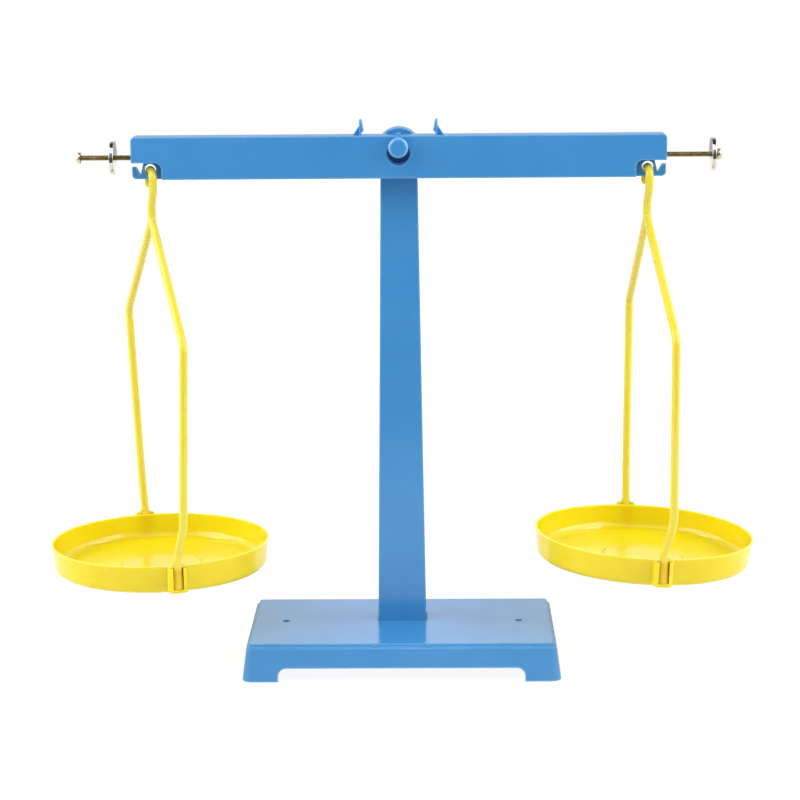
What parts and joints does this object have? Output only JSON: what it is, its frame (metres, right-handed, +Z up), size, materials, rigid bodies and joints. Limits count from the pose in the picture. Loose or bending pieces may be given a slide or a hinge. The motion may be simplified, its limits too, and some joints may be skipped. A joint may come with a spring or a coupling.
{
  "type": "pan balance",
  "caption": "Moulded plastic pan balance: a beam rocks on a pin in a tapered post, with hooked hangers and round pans, and discs on threaded screws trim it.",
  "frame": {"origin": "on the table, under the middle of the beam; the plane y = 0 is the middle plane of the beam and the pans", "axes": "+Z up, +X along the beam to the viewer's right, -Y towards the viewer, who sees the pin's knob"},
  "size_m": [0.5135, 0.1904, 0.3992],
  "materials": {
    "blue_plastic": "smooth moulded, semi-gloss",
    "yellow_plastic": "smooth moulded, semi-gloss",
    "yellow_zinc": "yellow zinc plated steel",
    "nickel": "bright nickel plate",
    "insert_brass": "plain turned brass"
  },
  "bodies": {
    "stand": {"base": "blue_plastic", "post": "blue_plastic", "pivot_pin": "blue_plastic"},
    "beam": {"beam": "blue_plastic", "left_balance_screw": "yellow_zinc", "right_balance_screw": "yellow_zinc", "left_screw_insert": "insert_brass", "right_screw_insert": "insert_brass"},
    "left_nut": {"left_balance_nut": "nickel"},
    "right_nut": {"right_balance_nut": "nickel"},
    "left_pan_set": {"left_hanger": "yellow_plastic", "left_pan": "yellow_plastic"},
    "right_pan_set": {"right_hanger": "yellow_plastic", "right_pan": "yellow_plastic"}
  },
  "joints": [
    {"name": "beam_tilt", "type": "hinge", "parent": "stand", "child": "beam", "pos_m": [0, 0, 0.3804], "axis": [0, 1, 0], "range_deg": [-13, 13]},
    {"name": "left_pan_swing", "type": "hinge", "parent": "beam", "child": "left_pan_set", "pos_m": [-0.177, 0, 0.36418], "axis": [0, -1, 0], "range_deg": [-16, 16]},
    {"name": "right_pan_swing", "type": "hinge", "parent": "beam", "child": "right_pan_set", "pos_m": [0.177, 0, 0.36418], "axis": [0, -1, 0], "range_deg": [-16, 16]},
    {"name": "left_nut_travel", "type": "slide", "parent": "beam", "child": "left_nut", "axis": [1, 0, 0], "range_m": [-0.0212, 0.0118]},
    {"name": "right_nut_travel", "type": "slide", "parent": "beam", "child": "right_nut", "axis": [1, 0, 0], "range_m": [-0.0315, 0.0015]}
  ]
}
